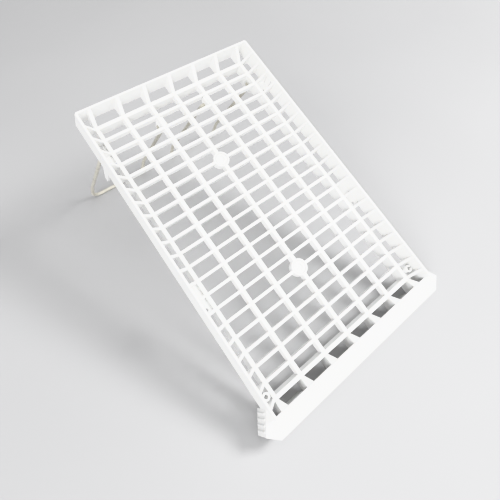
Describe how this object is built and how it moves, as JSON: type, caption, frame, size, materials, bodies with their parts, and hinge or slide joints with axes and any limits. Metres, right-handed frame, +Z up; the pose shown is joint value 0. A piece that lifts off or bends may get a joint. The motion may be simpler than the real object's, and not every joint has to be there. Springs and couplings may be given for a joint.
{
  "type": "laptop cooling pad",
  "caption": "White slatted laptop cooling pad: a shallow moulded grid tray with a raised front lip, tilted on two fold-flat wire feet.",
  "frame": {"origin": "on the surface that the pad stands on, below the middle of its bounding box, with both feet open", "axes": "+X to the right of somebody in front of the lip, +Y from the front lip towards the raised rear, +Z up"},
  "size_m": [0.247, 0.3876, 0.1901],
  "materials": {
    "white_plastic": "satin",
    "bush_plastic": "matte",
    "pad_rubber": "matte",
    "coated_wire": "satin"
  },
  "bodies": {
    "tray": {"deck_grid": "white_plastic", "rim_rear": "white_plastic", "rim_left": "white_plastic", "rim_right": "white_plastic", "front_lip": "white_plastic", "lip_end_left": "white_plastic", "lip_end_right": "white_plastic", "hinge_bracket_left": "white_plastic", "hinge_bracket_right": "white_plastic", "stow_clip_left": "white_plastic", "stow_clip_right": "white_plastic", "corner_hook_left": "white_plastic", "corner_hook_right": "white_plastic", "boss_plug_rear": "white_plastic", "boss_plug_front": "white_plastic", "leg_hanger_left": "white_plastic", "leg_hanger_right": "white_plastic", "pivot_bush_left": "bush_plastic", "pivot_bush_right": "bush_plastic", "front_pad_left": "pad_rubber", "front_pad_right": "pad_rubber"},
    "foot_left": {"stand_wire_left": "coated_wire"},
    "foot_right": {"stand_wire_right": "coated_wire"}
  },
  "joints": [
    {"name": "foot_fold_left", "type": "hinge", "parent": "tray", "child": "foot_left", "pos_m": [-0.0639, 0.09302, 0.14719], "axis": [-1, 0, 0], "range_deg": [0, 94.7]},
    {"name": "foot_fold_right", "type": "hinge", "parent": "tray", "child": "foot_right", "pos_m": [0.0639, 0.09302, 0.14719], "axis": [-1, 0, 0], "range_deg": [0, 94.7]}
  ]
}
